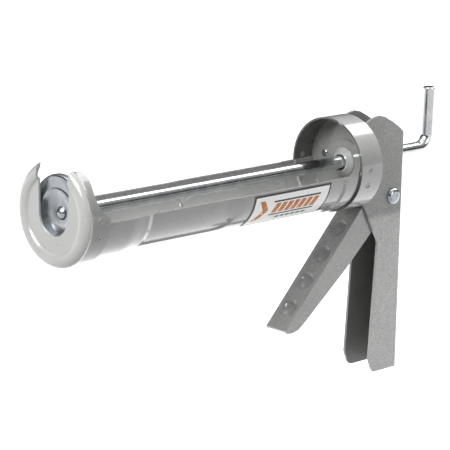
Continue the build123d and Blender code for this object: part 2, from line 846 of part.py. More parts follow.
# ---- plunger ---------------------------------------------------------
with BuildPart() as plunger_disc:
    with BuildSketch(Plane.XY):
        with BuildLine():
            Polyline(
                (dish_floor_x, stud_radius + running_gap),
                (dish_floor_x, 5.5),
            )
            Spline(
                (dish_floor_x, 5.5),
                (dish_floor_x - 0.9, plunger_dish_radius - 3.6),
                (plunger_rim_x, plunger_dish_radius),
                tangents=((0, 1), (-1, 1)),
            )
            Polyline(
                (plunger_rim_x, plunger_dish_radius),
                (plunger_rim_x, plunger_radius - 1.6),
                (plunger_rim_x + 0.5, plunger_radius - 0.5),
                (plunger_rim_x + 1.6, plunger_radius),
                (plunger_rim_x + 1.6 + plunger_edge_roll, plunger_radius),
                (plunger_rim_x + 1.6 + plunger_edge_roll, plunger_radius - plunger_sheet),
                (plunger_rim_x + 1.7, plunger_radius - plunger_sheet),
                (plunger_rim_x + plunger_sheet, plunger_radius - plunger_sheet - 0.6),
                (plunger_rim_x + plunger_sheet, plunger_dish_radius + 0.5),
            )
            Spline(
                (plunger_rim_x + plunger_sheet, plunger_dish_radius + 0.5),
                (dish_floor_x + 0.35, plunger_dish_radius - 3.4),
                (dish_floor_x + plunger_sheet, 5.5),
                tangents=((1, -1), (0, -1)),
            )
            Polyline(
                (dish_floor_x + plunger_sheet, 5.5),
                (dish_floor_x + plunger_sheet, stud_radius + running_gap),
                (dish_floor_x, stud_radius + running_gap),
            )
        make_face()
    revolve(axis=Axis.X)
plunger_disc.part.label = "plunger_disc"

with BuildPart() as plunger_washer:
    tube(
        washer_x,
        washer_x + washer_sheet - 0.05,
        washer_radius,
        stud_radius + running_gap,
    )
plunger_washer.part.label = "plunger_washer"

with BuildPart() as rod_end_button:
    button_dome = (button_radius**2 + button_height**2) / (2 * button_height)
    button_back = dish_floor_x - 0.05
    with Locations((button_back - button_height + button_dome, 0, 0)):
        Sphere(button_dome)
    with Locations((button_back - button_height, 0, 0)):
        Box(2 * button_height, 20, 20, mode=Mode.INTERSECT)
    disc(stud_end, button_back + 1, stud_radius + nest_gap, Mode.SUBTRACT)
rod_end_button.part.label = "rod_end_button"

# ---- label -----------------------------------------------------------
label_front = -panel_x1 - label_setback
with BuildPart() as label:
    tube(
        -label_front,
        -label_rear,
        cradle_mid_radius + nest_gap + label_sheet,
        cradle_mid_radius + nest_gap,
    )
    far = 40.0
    with BuildSketch(Plane.YZ.offset(-label_front)):
        with BuildLine():
            Polyline(
                (0, 0),
                (-far * cos(radians(label_top_angle)), -far * sin(radians(label_top_angle))),
                (-far * cos(radians(label_low_angle)), -far * sin(radians(label_low_angle))),
                close=True,
            )
        make_face()
    extrude(amount=label_front - label_rear, mode=Mode.INTERSECT)
label.part.label = "label"

nodes = (
    cradle,
    nose_plate,
    nose_spot_welds,
    rear_collar,
    collar_spot_welds,
    rear_plate,
    backing_plate,
    rod_bushing,
    handle,
    handle_rivets,
    pivot_rivet,
    pivot_spacer,
    trigger,
    pawl,
    pawl_pin,
    pawl_spring,
    trigger_spring,
    rod_brake_leaf,
    leaf_rivet,
    ratchet_rod,
    plunger_disc,
    plunger_washer,
    rod_end_button,
    label,
)
for node in nodes:
    export_step(node.part, "parts/" + node.part.label + ".step")
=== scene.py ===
"""Looks for the half-barrel caulking gun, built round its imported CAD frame.

Blender works in metres in the CAD frame. Sizes named here are in millimetres unless
they are said to be in metres, and are turned to metres with MM where they are used.
"""

import json
import math

import bmesh
import bpy
from mathutils import Matrix, Vector
from mathutils.geometry import delaunay_2d_cdt

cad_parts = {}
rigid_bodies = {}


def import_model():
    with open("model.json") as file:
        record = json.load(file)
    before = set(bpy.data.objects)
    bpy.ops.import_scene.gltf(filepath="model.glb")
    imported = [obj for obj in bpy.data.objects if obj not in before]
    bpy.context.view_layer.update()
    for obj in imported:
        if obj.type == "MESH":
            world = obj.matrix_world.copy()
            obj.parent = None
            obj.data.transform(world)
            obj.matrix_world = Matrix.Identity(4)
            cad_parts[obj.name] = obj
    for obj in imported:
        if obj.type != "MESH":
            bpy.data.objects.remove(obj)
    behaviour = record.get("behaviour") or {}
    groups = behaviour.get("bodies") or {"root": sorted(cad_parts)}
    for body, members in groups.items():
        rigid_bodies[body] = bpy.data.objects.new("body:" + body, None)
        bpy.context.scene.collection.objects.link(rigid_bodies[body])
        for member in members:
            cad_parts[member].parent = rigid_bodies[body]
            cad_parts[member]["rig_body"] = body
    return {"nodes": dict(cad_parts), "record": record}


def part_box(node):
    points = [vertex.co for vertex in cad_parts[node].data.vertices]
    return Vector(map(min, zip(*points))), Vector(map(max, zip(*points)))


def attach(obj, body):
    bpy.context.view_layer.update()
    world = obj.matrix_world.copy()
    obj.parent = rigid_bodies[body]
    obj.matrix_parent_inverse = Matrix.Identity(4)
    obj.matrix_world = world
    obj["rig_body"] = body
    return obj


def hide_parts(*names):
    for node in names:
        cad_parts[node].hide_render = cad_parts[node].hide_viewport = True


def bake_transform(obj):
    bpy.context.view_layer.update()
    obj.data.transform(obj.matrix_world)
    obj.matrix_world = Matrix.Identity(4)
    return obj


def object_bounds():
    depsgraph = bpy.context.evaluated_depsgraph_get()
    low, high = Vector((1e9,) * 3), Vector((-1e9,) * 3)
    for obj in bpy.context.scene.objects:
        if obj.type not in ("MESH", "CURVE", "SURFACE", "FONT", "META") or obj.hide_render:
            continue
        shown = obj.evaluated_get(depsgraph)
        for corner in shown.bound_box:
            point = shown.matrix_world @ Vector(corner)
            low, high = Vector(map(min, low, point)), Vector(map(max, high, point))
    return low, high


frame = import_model()
cad_low, cad_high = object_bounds()
nodes = frame["nodes"]
scene = bpy.context.scene
MM = 0.001


# ---- materials -------------------------------------------------------
class Shader:
    """A Principled material with helpers for procedural textures in object metres."""

    def __init__(self, name, **fixed):
        self.mat = bpy.data.materials.new(name)
        self.mat.use_nodes = True
        self.tree = self.mat.node_tree
        self.bsdf = self.tree.nodes["Principled BSDF"]
        for socket, value in fixed.items():
            self.bsdf.inputs[socket.replace("_", " ")].default_value = value
        self.coord = self.tree.nodes.new("ShaderNodeTexCoord").outputs["Object"]

    def node(self, kind, **props):
        made = self.tree.nodes.new(kind)
        for key, value in props.items():
            setattr(made, key, value)
        return made

    def link(self, out, socket):
        self.tree.links.new(out, socket)

    def mapped(self, stretch):
        """Object coordinates with each axis stretched."""
        mapping = self.node("ShaderNodeMapping")
        mapping.inputs["Scale"].default_value = stretch
        self.link(self.coord, mapping.inputs["Vector"])
        return mapping.outputs[0]

    def noise(self, scale, detail=3.0, rough=0.5, stretch=None):
        made = self.node("ShaderNodeTexNoise")
        made.inputs["Scale"].default_value = scale
        made.inputs["Detail"].default_value = detail
        made.inputs["Roughness"].default_value = rough
        self.link(self.mapped(stretch) if stretch else self.coord, made.inputs["Vector"])
        return made.outputs[0]

    def span(self, value, low, high, to_low=0.0, to_high=1.0, smooth=False):
        """Maps a value from one range to another, clamped."""
        made = self.node("ShaderNodeMapRange")
        if smooth:
            made.interpolation_type = "SMOOTHSTEP"
        made.inputs["From Min"].default_value = low
        made.inputs["From Max"].default_value = high
        made.inputs["To Min"].default_value = to_low
        made.inputs["To Max"].default_value = to_high
        self.link(value, made.inputs["Value"])
        return made.outputs[0]

    def maths(self, operation, a, b):
        made = self.node("ShaderNodeMath", operation=operation)
        for slot, value in enumerate((a, b)):
            if isinstance(value, (int, float)):
                made.inputs[slot].default_value = value
            else:
                self.link(value, made.inputs[slot])
        return made.outputs[0]

    def mix(self, factor, a, b):
        """Colour a where factor is 0 and b where it is 1."""
        made = self.node("ShaderNodeMix", data_type="RGBA")
        self.link(factor, made.inputs[0])
        for slot, value in ((6, a), (7, b)):
            if isinstance(value, tuple):
                made.inputs[slot].default_value = (*value, 1.0)
            else:
                self.link(value, made.inputs[slot])
        return made.outputs[2]

    def bumps(self, *layers):
        """Bump from (height, strength, distance in mm), chained."""
        normal = None
        for height, strength, distance in layers:
            made = self.node("ShaderNodeBump")
            made.inputs["Strength"].default_value = strength
            made.inputs["Distance"].default_value = distance * MM
            self.link(height, made.inputs["Height"])
            if normal is not None:
                self.link(normal, made.inputs["Normal"])
            normal = made.outputs[0]
        self.link(normal, self.bsdf.inputs["Normal"])

    def out(self, value, socket):
        self.link(value, self.bsdf.inputs[socket])


PAINTED_LIGHT_FADE = 2.5  # either side of where the smoother film with painted light begins
RUBBED_PEEL = 0.45  # how much of the orange peel is left there


def enamel(name, light, dark, peel_scale, peel, gloss, coat, speckle=0.0, smooth_and_painted_light=None):
    """Sprayed enamel: orange peel, faint cloudiness and fine specks in the film.

    light and dark are the cloudiness's two colours, peel is the orange peel's strength
    and gloss its middle roughness. The last argument is (axis, place in mm, light, dark):
    below that place the film is smoother and has its own two paler colours, which are
    painted light.
    """
    s = Shader(name, Metallic=0.0, Coat_Weight=coat, Coat_Roughness=0.05, IOR=1.5, Coat_IOR=1.6)
    cloud = s.span(s.noise(scale=28.0, detail=4.0, rough=0.55), 0.35, 0.68)
    colour = s.mix(cloud, dark, light)
    peel_height = s.noise(peel_scale, detail=2.0, rough=0.5)
    if smooth_and_painted_light:
        axis, height, pale, pale_dark = smooth_and_painted_light
        place = s.node("ShaderNodeSeparateXYZ")
        s.link(s.coord, place.inputs[0])
        kept = s.span(
            place.outputs[axis],
            (height - PAINTED_LIGHT_FADE) * MM,
            (height + PAINTED_LIGHT_FADE) * MM,
            smooth=True,
        )
        # painted light: below the place the colour is paler than the rest of the film
        colour = s.mix(kept, s.mix(cloud, pale_dark, pale), colour)
        peel_height = s.maths(
            "MULTIPLY", peel_height, s.span(kept, 0.0, 1.0, RUBBED_PEEL, 1.0)
        )
    if speckle:
        specks = s.span(s.noise(scale=1500.0, detail=2.0, rough=0.6), 0.40, 0.62)
        shaded = s.node("ShaderNodeMix", data_type="RGBA", blend_type="MULTIPLY")
        shaded.inputs[0].default_value = speckle
        s.link(colour, shaded.inputs[6])
        s.link(s.mix(specks, (0.45, 0.45, 0.45), (1.0, 1.0, 1.0)), shaded.inputs[7])
        colour = shaded.outputs[2]
    s.out(colour, "Base Color")
    smear = s.noise(scale=90.0, detail=5.0, rough=0.6, stretch=(0.35, 1.0, 1.0))
    s.out(s.span(smear, 0.3, 0.72, gloss - 0.06, gloss + 0.08), "Roughness")
    s.bumps(
        (peel_height, peel, 0.12),
        (s.noise(scale=60.0, detail=2.0, rough=0.5), min(peel, 0.3) * 0.6, 0.5),
    )
    return s.mat


def plated(name, light, dark, rough, grain, spangle=160.0):
    """Bright plated steel with faint spangle, haze and drawing marks.

    grain stretches the drawing marks, and is smallest along the way they run.
    """
    s = Shader(name, Metallic=1.0)
    haze = s.noise(spangle, detail=5.0, rough=0.6)
    s.out(s.mix(s.span(haze, 0.32, 0.7), dark, light), "Base Color")
    marks = s.noise(scale=900.0, detail=3.0, rough=0.6, stretch=grain)
    hazy_rough = s.span(haze, 0.3, 0.7, rough * 0.75, rough * 1.3)
    marked_rough = s.span(marks, 0.4, 0.7, 0.0, 0.06)
    s.out(s.maths("ADD", hazy_rough, marked_rough), "Roughness")
    s.bumps((marks, 0.10, 0.03), (s.noise(scale=320.0, detail=2.0), 0.06, 0.05))
    return s.mat


barrel_enamel = enamel(
    "barrel_enamel",
    light=(0.30, 0.305, 0.297),
    dark=(0.262, 0.268, 0.26),
    peel_scale=420.0,
    peel=0.10,
    gloss=0.24,
    coat=1.0,
)
collar_enamel = enamel(
    "collar_enamel",
    light=(0.37, 0.375, 0.367),
    dark=(0.32, 0.327, 0.32),
    peel_scale=420.0,
    peel=0.12,
    gloss=0.26,
    coat=1.0,
)
nose_painted_light_length = 4.5  # the nose plate's front, where its film is smoother and painted paler, as painted light on its lit front face
nose_enamel = enamel(
    "nose_enamel",
    light=(0.28, 0.285, 0.277),
    dark=(0.245, 0.25, 0.243),
    peel_scale=420.0,
    peel=0.10,
    gloss=0.30,
    coat=0.7,
    smooth_and_painted_light=(
        "X",
        cad_low.x / MM + nose_painted_light_length,
        (0.42, 0.425, 0.415),
        (0.38, 0.385, 0.375),
    ),
)
bushing_enamel = enamel(
    "bushing_enamel",
    light=(0.50, 0.505, 0.49),
    dark=(0.40, 0.405, 0.395),
    peel_scale=420.0,
    peel=0.10,
    gloss=0.20,
    coat=1.0,
)
grip_top = -36.0  # painted light: below this the handle's film is smoother and painted paler, so its top under the barrel and collar stays darker as painted shade
handle_enamel = enamel(
    "handle_enamel",
    light=(0.36, 0.36, 0.355),
    dark=(0.31, 0.312, 0.305),
    peel_scale=1000.0,
    peel=0.60,
    gloss=0.40,
    coat=0.35,
    speckle=0.60,
    smooth_and_painted_light=("Z", grip_top, (0.58, 0.58, 0.575), (0.53, 0.53, 0.525)),
)
trigger_enamel = enamel(
    "trigger_enamel",
    light=(0.43, 0.43, 0.425),
    dark=(0.38, 0.382, 0.375),
    peel_scale=1000.0,
    peel=0.60,
    gloss=0.28,
    coat=1.0,
    speckle=0.50,
)
# painted shade: darker enamel for the inside of the handle's channel and the outer faces of the
# cradle's groove, where shade falls
recess_painted_shade = enamel(
    "recess_painted_shade",
    light=(0.24, 0.24, 0.236),
    dark=(0.19, 0.19, 0.187),
    peel_scale=900.0,
    peel=0.34,
    gloss=0.50,
    coat=0.15,
)
# painted shade: darker enamel for the inside of the collar's ring, where shade falls
shade_enamel = enamel(
    "shade_enamel",
    light=(0.11, 0.113, 0.106),
    dark=(0.07, 0.073, 0.067),
    peel_scale=420.0,
    peel=0.12,
    gloss=0.30,
    coat=0.5,
)
# painted shade: the rear plate and backing plate, inside the ring, are painted darker to stand
# in for the shade there
plate_painted_shade = enamel(
    "plate_painted_shade",
    light=(0.25, 0.255, 0.243),
    dark=(0.19, 0.195, 0.185),
    peel_scale=420.0,
    peel=0.12,
    gloss=0.26,
    coat=1.0,
)
# painted highlight: bright bare-looking metal for rounded edges, standing in for the thin
# highlight lines along them
edge_painted_highlight = plated(
    "edge_painted_highlight",
    light=(0.93, 0.93, 0.92),
    dark=(0.80, 0.80, 0.79),
    rough=0.28,
    grain=(1.0, 1.0, 1.0),
)
bright_zinc = plated(
    "bright_zinc",
    light=(0.72, 0.75, 0.78),
    dark=(0.42, 0.45, 0.49),
    rough=0.20,
    grain=(1.0, 1.0, 1.0),
    spangle=110.0,
)
rod_steel = plated(
    "rod_steel",
    light=(0.84, 0.85, 0.86),
    dark=(0.66, 0.68, 0.70),
    rough=0.11,
    grain=(0.02, 1.0, 1.0),
)
plain_steel = plated(
    "plain_steel",
    light=(0.50, 0.50, 0.50),
    dark=(0.34, 0.33, 0.32),
    rough=0.34,
    grain=(1.0, 0.2, 1.0),
)
spring_steel = plated(
    "spring_steel",
    light=(0.36, 0.36, 0.37),
    dark=(0.24, 0.24, 0.25),
    rough=0.30,
    grain=(1.0, 1.0, 1.0),
)

finish = {
    "barrel_enamel": barrel_enamel,
    "handle_enamel": handle_enamel,
    "bright_zinc": bright_zinc,
    "rod_steel": rod_steel,
    "plain_steel": plain_steel,
    "spring_steel": spring_steel,
    "label_film": barrel_enamel,
}
slot_of = {row["node"]: row["material_slot"] for row in frame["record"]["subparts"]}
for node, slot in slot_of.items():
    mesh = nodes[node].data
    mesh.materials.clear()
    mesh.materials.append(finish[slot])


# ---- pieces ----------------------------------------------------------
MERGE_REACH = 2e-6  # metres; corners of the CAD mesh nearer than this are one
FLAT_ANGLE = math.radians(0.6)  # faces that meet at less than this are one
BREAK_ANGLE = math.radians(32.0)  # edges sharper than this are rounded
RIM_ANGLE = math.radians(60.0)  # as above, for the cradle
SHARP_ANGLE = math.radians(40.0)  # shading stays sharp above this
EDGE_SLOT = 1  # material slot of rounded edges, where they carry a painted highlight
GROOVE_SLOT = 2  # the cradle's slot for the outer faces of its groove, painted dark as painted shade


def smoothstep(low, high, value):
    """0 at low and 1 at high, easing out of one and into the other."""
    t = min(1.0, max(0.0, (value - low) / (high - low)))
    return t * t * (3.0 - 2.0 * t)


def piece(name, mesh, body, slot, *stands_for):
    """Adds a mesh as a visible piece that rides on a body."""
    made = bpy.data.objects.new(name, mesh)
    scene.collection.objects.link(made)
    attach(made, body)
    if stands_for:
        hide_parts(*stands_for)
    return made


def body_of(node):
    return nodes[node]["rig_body"]


def refined(node, edge, paint=None, edge_highlight=None, inside=None):
    """The CAD piece with its sharp edges broken by a small round.

    edge is the round's size in mm, and the edge paint, a painted highlight, goes on the
    round. inside is (test, paint) for some of the other faces.
    """
    shape = bmesh.new()
    shape.from_mesh(nodes[node].data)
    bmesh.ops.remove_doubles(shape, verts=shape.verts, dist=MERGE_REACH)
    bmesh.ops.dissolve_limit(
        shape, angle_limit=FLAT_ANGLE, verts=shape.verts, edges=shape.edges
    )
    for face in shape.faces:
        face.material_index = 0
    sharp = [
        e
        for e in shape.edges
        if len(e.link_faces) == 2 and e.calc_face_angle(0.0) > BREAK_ANGLE
    ]
    slot = slot_of[node]
    paints = [paint or finish[slot]]
    if edge_highlight:
        paints.append(edge_highlight)
    bmesh.ops.bevel(
        shape,
        geom=sharp,
        offset=edge * MM,
        offset_type="OFFSET",
        segments=2,
        profile=0.5,
        affect="EDGES",
        clamp_overlap=True,
        material=EDGE_SLOT if edge_highlight else -1,
    )
    mesh = bpy.data.meshes.new(node + "_fine")
    shape.normal_update()
    shape.to_mesh(mesh)
    shape.free()
    if inside:
        paints.append(inside[1])
        for face in mesh.polygons:
            if face.material_index == 0 and inside[0](face):
                face.material_index = len(paints) - 1
    for used in paints:
        mesh.materials.append(used)
    mesh.shade_smooth()
    mesh.set_sharp_from_angle(angle=SHARP_ANGLE)
    made = piece(node + "_fine", mesh, body_of(node), slot, node)
    made.modifiers.new("even_normals", "WEIGHTED_NORMAL").keep_sharp = True
    return made


# cradle: one pressed sheet, worked out as radius over length and angle. Stations run
# along X, and angles are in degrees below the horizontal
low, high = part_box("cradle")
cradle_front = low.x / MM
cradle_edge = high.z / MM
cradle_rear = high.x / MM
cradle_end_radius = -low.z / MM
sheet_thickness = 1.2
rim_round = 0.3
# the ends are wider than the middle by this step
cradle_step = 1.0
front_step = cradle_front + 31.0
front_slope = 14.0
rear_step = cradle_rear - 26.5
rear_slope = 2.2
# the pressed panel on each side: its edge is crisp, but softens low down at its rear
panel_front = cradle_front + 46.5
panel_rear = panel_front + 66.0
panel_angle = 51.0
panel_depth = 1.0
panel_corner = 10.0
panel_front_slope = (-3.0, 2.0)
crisp_width = 1.0
softer_width = 22.0
soft_inset = (5.0, 17.0)
soft_length = 20.0
# the groove just before the collar, its outer faces painted dark as painted shade
collar_low, collar_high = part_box("rear_collar")
groove_rear = collar_low.x / MM
groove_front = groove_rear - 1.5
groove_depth = 0.9
groove_wall = 0.2  # past its rear, to take in its wall
# small round dimples on the near side: station, angle, radius, depth
dimples = ((panel_rear - 2.0, 33.0, 2.4, 0.8), (rear_step - 0.6, 6.5, 1.3, 0.7))


def cradle_radius(x, below, side):
    """Outer radius in mm at a station and an angle below the horizontal."""
    radius = cradle_end_radius
    radius -= cradle_step * smoothstep(front_step, front_step + front_slope, x) * (
        1.0 - smoothstep(rear_step - rear_slope, rear_step, x)
    )
    inset = math.radians(panel_angle - below) * radius
    to_rear = panel_rear - x
    if inset < panel_corner and to_rear < panel_corner:
        within = panel_corner - math.hypot(panel_corner - inset, panel_corner - to_rear)
    else:
        within = min(inset, to_rear)
    soft = crisp_width + softer_width * smoothstep(*soft_inset, inset) * smoothstep(
        soft_length, 0.0, to_rear
    )
    pressed = smoothstep(-soft / 2, soft / 2, within) * smoothstep(
        *panel_front_slope, x - panel_front
    )
    radius -= panel_depth * pressed
    for place, angle, reach, depth in dimples if side < 0 else ():
        away = math.hypot(x - place, math.radians(below - angle) * radius) / reach
        if away < 1.0:
            radius -= depth * (1.0 - away * away) ** 2
    if groove_front < x < groove_rear:
        radius -= groove_depth
    return radius


def ticks(low, high, step, *fine):
    """Even stations, with closer ones in the ranges given as (low, high, step)."""
    count = round((high - low) / step)
    marks = {
        round(low + (high - low) * i / max(1, count), 4) for i in range(count + 1)
    }
    for start, end, gap in fine:
        marks |= {round(start + gap * i, 4) for i in range(int((end - start) / gap) + 1)}
    return sorted(m for m in marks if low <= m <= high)


stations = ticks(
    cradle_front, cradle_rear, 2.4,
    (front_step - 1, front_step + 15, 0.8),
    (panel_front - 4, panel_front + 4, 0.5),
    (panel_rear - 14, panel_rear + 3, 0.6),
    (rear_step - 4, rear_step + 2, 0.3),
    (groove_front, groove_rear, 0.1),
    (groove_rear, groove_rear + 0.1, 0.1),
)
half_angles = ticks(
    0.0, 90.0, 2.0,
    (panel_angle - 24, panel_angle + 4, 0.45),
    (3.0, 10.0, 0.6),
)
# from the near side's upper edge round to the far side's
across = [(a, -1) for a in half_angles] + [(a, 1) for a in reversed(half_angles[:-1])]


def cradle_point(x, below, side, inner):
    """A corner of the sheet in metres, on its outer or its inner skin."""
    radius = cradle_radius(x, below, side) - (sheet_thickness if inner else 0.0)
    start = math.degrees(math.asin(-cradle_edge / radius))
    turn = math.radians(start + (90.0 - start) * below / 90.0)
    return Vector((x, side * radius * math.cos(turn), -radius * math.sin(turn))) * MM


sheet = bmesh.new()
skins = []
for on_inside in (False, True):
    skins.append([
        [sheet.verts.new(cradle_point(x, a, side, on_inside)) for a, side in across]
        for x in stations
    ])
outer, inner = skins
last = len(across) - 1
for i in range(len(stations) - 1):
    k = i + 1
    in_groove = groove_front <= stations[i] and stations[k] <= groove_rear + groove_wall
    for j in range(last):
        skin = sheet.faces.new(
            (outer[i][j], outer[k][j], outer[k][j + 1], outer[i][j + 1])
        )
        if in_groove:
            skin.material_index = GROOVE_SLOT
        sheet.faces.new((inner[i][j], inner[i][j + 1], inner[k][j + 1], inner[k][j]))
    for j in (0, last):
        sheet.faces.new((outer[i][j], inner[i][j], inner[k][j], outer[k][j]))
for i in (0, len(stations) - 1):
    for j in range(last):
        sheet.faces.new((outer[i][j], outer[i][j + 1], inner[i][j + 1], inner[i][j]))
bmesh.ops.recalc_face_normals(sheet, faces=sheet.faces)
# the rims' rounds get the bright edge material, a painted highlight along the cradle's edges
rims = [
    e
    for e in sheet.edges
    if e.calc_face_angle(0.0) > RIM_ANGLE
    and not any(f.material_index for f in e.link_faces)
]
bmesh.ops.bevel(
    sheet,
    geom=rims,
    offset=rim_round * MM,
    segments=2,
    profile=0.5,
    affect="EDGES",
    clamp_overlap=True,
    material=EDGE_SLOT,
)
cradle_mesh = bpy.data.meshes.new("cradle_sheet")
sheet.to_mesh(cradle_mesh)
sheet.free()
for used in (barrel_enamel, edge_painted_highlight, recess_painted_shade):
    cradle_mesh.materials.append(used)
cradle_mesh.shade_smooth()
cradle_mesh.set_sharp_from_angle(angle=SHARP_ANGLE)
piece("cradle_sheet", cradle_mesh, "frame", "barrel_enamel", "cradle")

# sheet metal and plated pieces with their edges broken
collar_depth = 0.9  # a face this far in from the ring's outside is on its inside
handle_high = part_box("handle")[1]
handle_half_width = 11.0
handle_wall = 1.6
handle_back_depth = 1.2  # as for the collar, from the handle's back
channel_half_width = (handle_half_width - handle_wall) * MM + 1e-5


def in_collar(face):
    """Faces on the inside of the ring, which get painted shade."""
    return math.hypot(face.center.y, face.center.z) < collar_high.z - collar_depth * MM


def in_channel(face):
    """Faces on the inside of the handle's channel, which get painted shade."""
    return (
        abs(face.center.y) < channel_half_width
        and face.center.x < handle_high.x - handle_back_depth * MM
    )


refined("nose_plate", edge=0.22, paint=nose_enamel)
refined("nose_spot_welds", edge=0.25)
refined(
    "rear_collar",
    edge=0.30,
    paint=collar_enamel,
    edge_highlight=edge_painted_highlight,
    inside=(in_collar, shade_enamel),
)
refined("collar_spot_welds", edge=0.25)
refined("rod_bushing", edge=0.12, paint=bushing_enamel)
refined("rear_plate", edge=0.20, paint=plate_painted_shade)
refined("backing_plate", edge=0.15, paint=plate_painted_shade)
refined("handle", edge=0.30, inside=(in_channel, recess_painted_shade))
refined("trigger", edge=0.28, paint=trigger_enamel)
refined("plunger_disc", edge=0.18)

# ---- return spring: coil with a leg on the handle and one on the trigger
spring_low, spring_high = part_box("trigger_spring")
pivot = (spring_low + spring_high) / 2
wire = 0.6  # radius
coil = 5.4  # radius, to the wire's middle
turns = 3
pitch = 1.5
steps = 28  # points in one turn
last_turn = 262.0  # degrees, where the coil runs out into its second leg
# the legs' ends, as X and Z from the pivot
first_leg_end = (7.9, -33.0)
first_leg_start = (coil + 0.25, -5.0)
second_leg_end = (-26.0, -9.6)
path = [
    Vector((pivot.x / MM + x, -turns * pitch / 2, pivot.z / MM + z))
    for x, z in (first_leg_end, first_leg_start)
]
sweep = turns * 360.0 + last_turn - 360.0
for i in range(int(steps * sweep / 360.0) + 1):
    angle = math.radians(360.0 * i / steps)
    path.append(Vector((
        pivot.x / MM + coil * math.cos(angle),
        -turns * pitch / 2 + pitch * i / steps,
        pivot.z / MM + coil * math.sin(angle),
    )))
path.append(Vector((
    pivot.x / MM + second_leg_end[0],
    path[-1].y,
    pivot.z / MM + second_leg_end[1],
)))
wire_curve = bpy.data.curves.new("return_spring", "CURVE")
wire_curve.dimensions = "3D"
wire_curve.bevel_depth = wire * MM
wire_curve.bevel_resolution = 4
wire_curve.use_fill_caps = True
run = wire_curve.splines.new("POLY")
run.points.add(len(path) - 1)
for point, place in zip(run.points, path):
    point.co = (*(place * MM), 1.0)
holder = bpy.data.objects.new("return_spring_path", wire_curve)
scene.collection.objects.link(holder)
bpy.context.view_layer.update()
graph = bpy.context.evaluated_depsgraph_get()
spring_mesh = bpy.data.meshes.new_from_object(holder.evaluated_get(graph))
bpy.data.objects.remove(holder)
spring_mesh.name = "return_spring"
spring_mesh.materials.clear()
spring_mesh.materials.append(spring_steel)
spring_mesh.shade_smooth()
return_spring = bpy.data.objects.new("return_spring", spring_mesh)
scene.collection.objects.link(return_spring)
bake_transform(return_spring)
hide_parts("trigger_spring")

# ---- label: white film with a plain striped graphic -------------------
label_low, label_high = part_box("label")
label_seat_radius = 26.92  # the barrel's radius under the label
film_thickness = 0.15
film_radius = label_seat_radius + film_thickness
label_length = (label_high.x - label_low.x) / MM
label_top = 6.0  # degrees below the horizontal
label_foot = 58.0
label_span = math.radians(label_foot - label_top) * film_radius
side_step = 1.2  # points along an outline are no farther apart than this
grid_length = 4.0  # points within it are, back along the barrel and down round it
grid_height = 1.3
grid_start = (0.31, 0.37)  # keeps the grid off the outlines
ink_lift = 0.02


def on_film(u, v, lift):
    """Point on the label: u back from its front edge, v down round the barrel."""
    turn = math.radians(label_top) + v / film_radius
    radius = film_radius + lift
    return Vector((
        label_low.x / MM + u,
        -radius * math.cos(turn),
        -radius * math.sin(turn),
    )) * MM


def film(name, outlines, lift, material):
    """Thin printed shapes, closed outlines in label coordinates, laid on the curve."""
    shape = bmesh.new()
    for outline in outlines:
        points = []
        for i, start in enumerate(outline):
            end = outline[(i + 1) % len(outline)]
            count = max(1, math.ceil(math.dist(start, end) / side_step))
            points += [
                Vector([a + (b - a) * k / count for a, b in zip(start, end)])
                for k in range(count)
            ]
        edges = [(i, (i + 1) % len(points)) for i in range(len(points))]
        us = [p.x for p in points]
        vs = [p.y for p in points]
        inner = []
        u = math.ceil(min(us)) + grid_start[0]
        while u < max(us):
            v = math.ceil(min(vs)) + grid_start[1]
            while v < max(vs):
                inner.append(Vector((u, v)))
                v += grid_height
            u += grid_length
        flat, _, faces, *_ = delaunay_2d_cdt(
            points + inner, edges, [list(range(len(points)))], 1, 1e-5
        )
        top = [shape.verts.new(on_film(p.x, p.y, lift)) for p in flat]
        for face in faces:
            shape.faces.new([top[k] for k in face])
    bmesh.ops.recalc_face_normals(shape, faces=shape.faces)
    for face in shape.faces:
        out = face.calc_center_median()
        if face.normal.dot(Vector((0, out.y, out.z))) < 0:
            face.normal_flip()
    mesh = bpy.data.meshes.new(name)
    shape.to_mesh(mesh)
    shape.free()
    mesh.materials.append(material)
    mesh.shade_smooth()
    return mesh


def printed(name, light, dark):
    """Satin print on the film, with faint mottling and ripple."""
    s = Shader(name, Roughness=0.45, Coat_Weight=0.15, Coat_Roughness=0.12)
    mottle = s.span(s.noise(scale=700.0, detail=3.0), 0.35, 0.65)
    s.out(s.mix(mottle, dark, light), "Base Color")
    s.bumps((s.noise(scale=160.0, detail=2.0), 0.06, 0.2))
    return s.mat


def bar(u, v, width, height, slant=0):
    """A bar's outline from its corner (u, v), its top moved back by slant."""
    return ((u + slant, v), (u + width + slant, v), (u + width, v + height), (u, v + height))


white_film = printed("label_white", (0.90, 0.90, 0.89), (0.84, 0.845, 0.84))
black_ink = printed("label_black", (0.015, 0.015, 0.016), (0.01, 0.01, 0.01))
orange_ink = printed("label_orange", (0.62, 0.20, 0.012), (0.36, 0.10, 0.008))
frame_width = 1.3  # at the top and front
frame_foot = 0.8
frame_rear = 1.1
frame_bars = [
    bar(0, 0, label_length, frame_width),
    bar(0, label_span - frame_foot, label_length, frame_foot),
    bar(0, 0, frame_width, label_span),
    bar(label_length - frame_rear, 0, frame_rear, label_span),
]
rule_height = 1.2
rules = [bar(17, 5.0, 39, rule_height), bar(17, 15.0, 37, rule_height)]
dash_count = 6
dash_pitch = 4.4
dashes = [bar(24 + dash_pitch * i, 18.0, 3.0, 1.9, 0.9) for i in range(dash_count)]
block_count = 7
block_pitch = 5.3
blocks = [bar(17.5 + block_pitch * i, 7.0, 4.0, 7.0, 2.2) for i in range(block_count)]
chevron = [((5, 4.0), (9, 4.0), (14, 11.0), (8, 19.5), (4, 19.5), (9.5, 11.0))]
whole = [((0, 0), (label_length, 0), (label_length, label_span), (0, label_span))]
